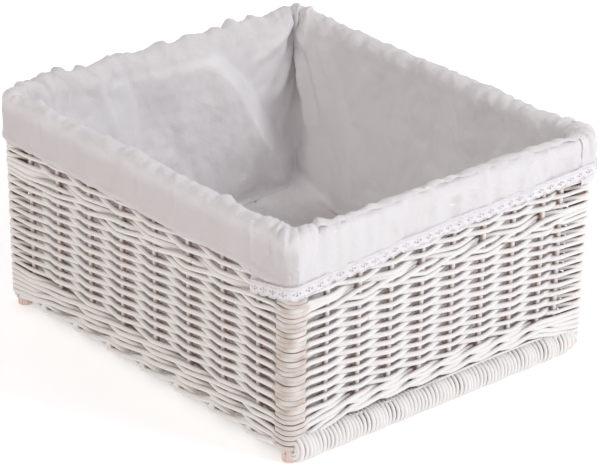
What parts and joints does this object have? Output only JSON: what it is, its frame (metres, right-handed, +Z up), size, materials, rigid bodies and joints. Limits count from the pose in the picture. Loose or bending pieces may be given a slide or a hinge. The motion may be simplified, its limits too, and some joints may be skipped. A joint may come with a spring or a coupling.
{
  "type": "lined wicker basket",
  "caption": "Open rectangular wicker basket in painted willow on corner-post feet, with a loose cotton liner folded over the rim and lace along the front hem.",
  "frame": {"origin": "centre of the rectangle that holds the basket, on the ground plane under the four feet", "axes": "+Z up, -Y towards the front wall with the lace trim and the wrapped rail, +X to the right seen from the front, long side along Y"},
  "size_m": [0.349, 0.405, 0.208],
  "materials": {
    "painted_willow": "thin white paint over peeled willow rods, satin, worn through to brown wood in places",
    "bare_wood": "unpainted round willow and poplar sticks, matt",
    "liner_cotton": "plain woven white cotton, washed and creased, matt",
    "lace": "white cotton eyelet lace with raised stitching, matt",
    "nail_steel": "plain round wire nails, dull"
  },
  "bodies": {
    "basket": {"corner_post_front_left": "bare_wood", "corner_post_front_right": "bare_wood", "corner_post_back_right": "bare_wood", "corner_post_back_left": "bare_wood", "base_rail_front": "bare_wood", "base_rail_back": "bare_wood", "rail_wrap_front": "painted_willow", "rail_wrap_back": "painted_willow", "base_sticks": "bare_wood", "base_weave": "painted_willow", "base_edge_left": "painted_willow", "base_edge_right": "painted_willow", "rail_nails": "nail_steel", "stakes_front": "painted_willow", "stakes_right": "painted_willow", "stakes_back": "painted_willow", "stakes_left": "painted_willow", "corner_wrap_front_left": "painted_willow", "corner_wrap_front_right": "painted_willow", "corner_wrap_back_right": "painted_willow", "corner_wrap_back_left": "painted_willow", "lower_wale_front": "painted_willow", "lower_wale_right": "painted_willow", "lower_wale_back": "painted_willow", "lower_wale_left": "painted_willow", "lower_siding_front": "painted_willow", "lower_siding_right": "painted_willow", "lower_siding_back": "painted_willow", "lower_siding_left": "painted_willow", "upper_wale_front": "painted_willow", "upper_wale_right": "painted_willow", "upper_wale_back": "painted_willow", "upper_wale_left": "painted_willow", "upper_siding_front": "painted_willow", "upper_siding_right": "painted_willow", "upper_siding_back": "painted_willow", "upper_siding_left": "painted_willow", "rim_border_front": "painted_willow", "rim_border_right": "painted_willow", "rim_border_back": "painted_willow", "rim_border_left": "painted_willow"},
    "liner": {"liner_floor": "liner_cotton", "liner_wall_front": "liner_cotton", "liner_wall_right": "liner_cotton", "liner_wall_back": "liner_cotton", "liner_wall_left": "liner_cotton", "liner_cuff_front": "liner_cotton", "liner_cuff_right": "liner_cotton", "liner_cuff_back": "liner_cotton", "liner_cuff_left": "liner_cotton", "lace_trim": "lace"}
  },
  "joints": [
    {"name": "liner_lift", "type": "slide", "parent": "basket", "child": "liner", "axis": [0, 0, 1], "range_m": [0, 0.25]}
  ]
}
